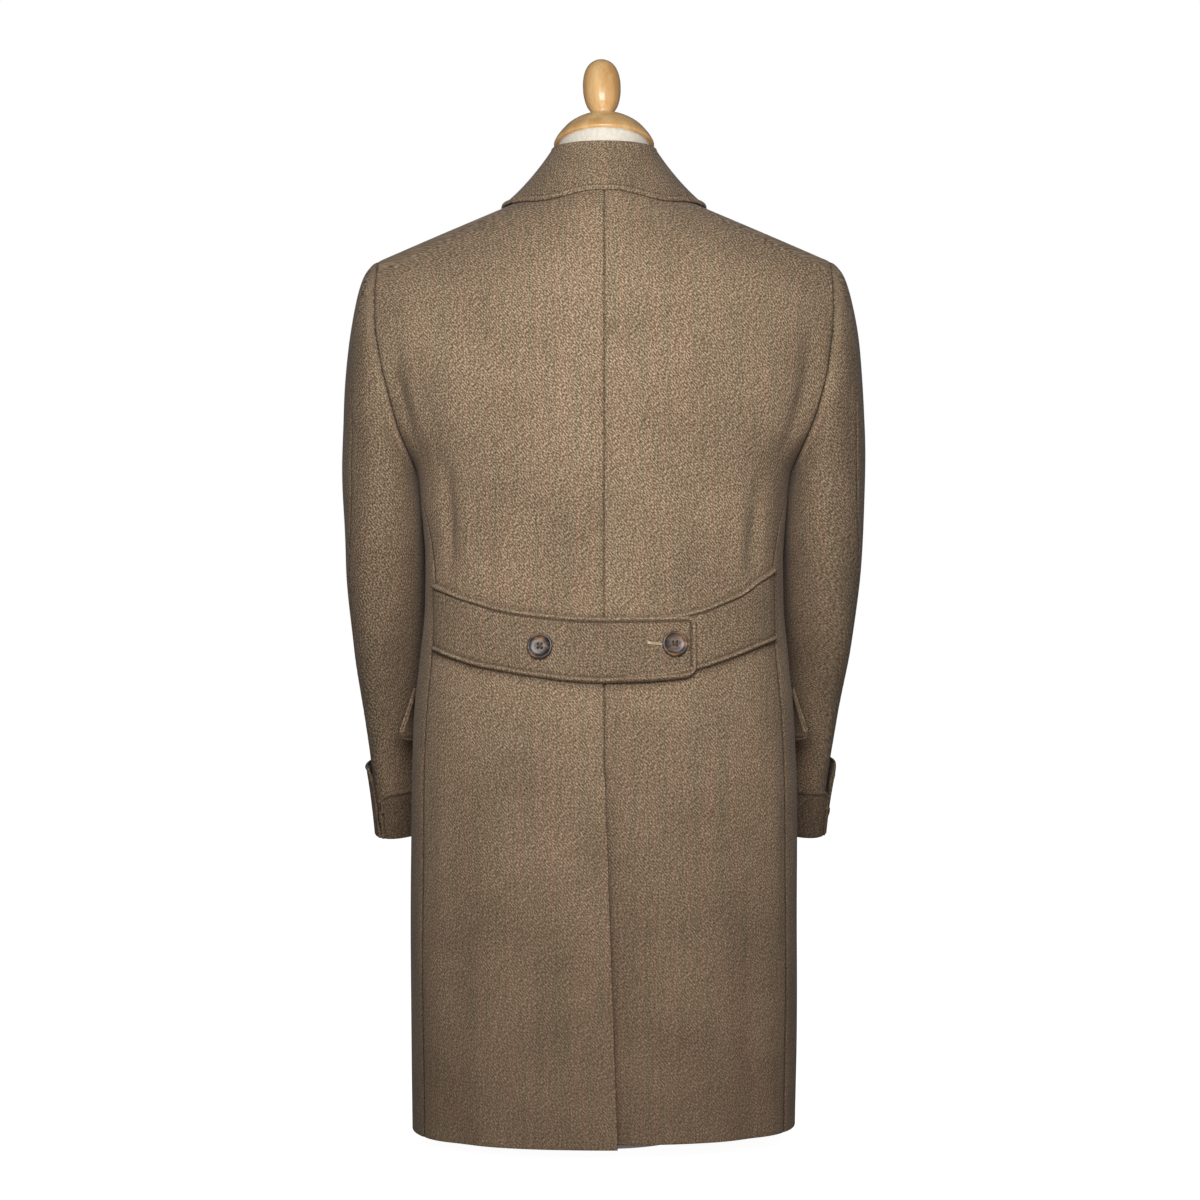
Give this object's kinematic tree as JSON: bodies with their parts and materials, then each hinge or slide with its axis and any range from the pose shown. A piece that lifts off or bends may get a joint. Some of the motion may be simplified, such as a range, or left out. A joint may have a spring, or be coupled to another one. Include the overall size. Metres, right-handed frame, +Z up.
{
  "type": "covert coat on dress form",
  "caption": "Knee-length wool covert coat with a half belt, centre vent, turn-back cuffs and notched collar, worn by a limbless tailor's dress form with a turned wooden neck cap.",
  "frame": {"origin": "middle of the dress form's round base, on the floor", "axes": "+Z up; +Y the way the coat's front faces, so its back faces -Y; +X the wearer's right side"},
  "size_m": [0.551, 0.3278, 1.1327],
  "materials": {
    "covert_cloth": "brown and fawn marled wool twill, matt",
    "horn": "dark mottled horn, semi-gloss",
    "canvas": "cream cotton canvas over the form, matt",
    "beech": "honey-coloured varnished beech",
    "pale_steel": "cream painted steel, satin"
  },
  "bodies": {
    "root": {"back_left_skirt": "covert_cloth", "back_left_bodice": "covert_cloth", "back_right_skirt": "covert_cloth", "back_right_bodice": "covert_cloth", "front_left_skirt": "covert_cloth", "front_left_bodice": "covert_cloth", "front_right_skirt": "covert_cloth", "front_right_bodice": "covert_cloth", "collar": "covert_cloth", "lapel_left": "covert_cloth", "lapel_right": "covert_cloth", "top_sleeve_left_head": "covert_cloth", "top_sleeve_left_upper": "covert_cloth", "top_sleeve_left_elbow": "covert_cloth", "top_sleeve_left_fore": "covert_cloth", "top_sleeve_left_wrist": "covert_cloth", "top_sleeve_right_head": "covert_cloth", "top_sleeve_right_upper": "covert_cloth", "top_sleeve_right_elbow": "covert_cloth", "top_sleeve_right_fore": "covert_cloth", "top_sleeve_right_wrist": "covert_cloth", "under_sleeve_left_head": "covert_cloth", "under_sleeve_left_upper": "covert_cloth", "under_sleeve_left_elbow": "covert_cloth", "under_sleeve_left_fore": "covert_cloth", "under_sleeve_left_wrist": "covert_cloth", "under_sleeve_right_head": "covert_cloth", "under_sleeve_right_upper": "covert_cloth", "under_sleeve_right_elbow": "covert_cloth", "under_sleeve_right_fore": "covert_cloth", "under_sleeve_right_wrist": "covert_cloth", "cuff_left": "covert_cloth", "cuff_right": "covert_cloth", "belt_left": "covert_cloth", "belt_right": "covert_cloth", "pocket_flap_left": "covert_cloth", "pocket_flap_right": "covert_cloth", "belt_button_left": "horn", "belt_button_right": "horn", "form_torso": "canvas", "form_neck_cap": "beech", "form_finial": "beech", "form_pole": "pale_steel", "form_base": "pale_steel"}
  },
  "joints": []
}
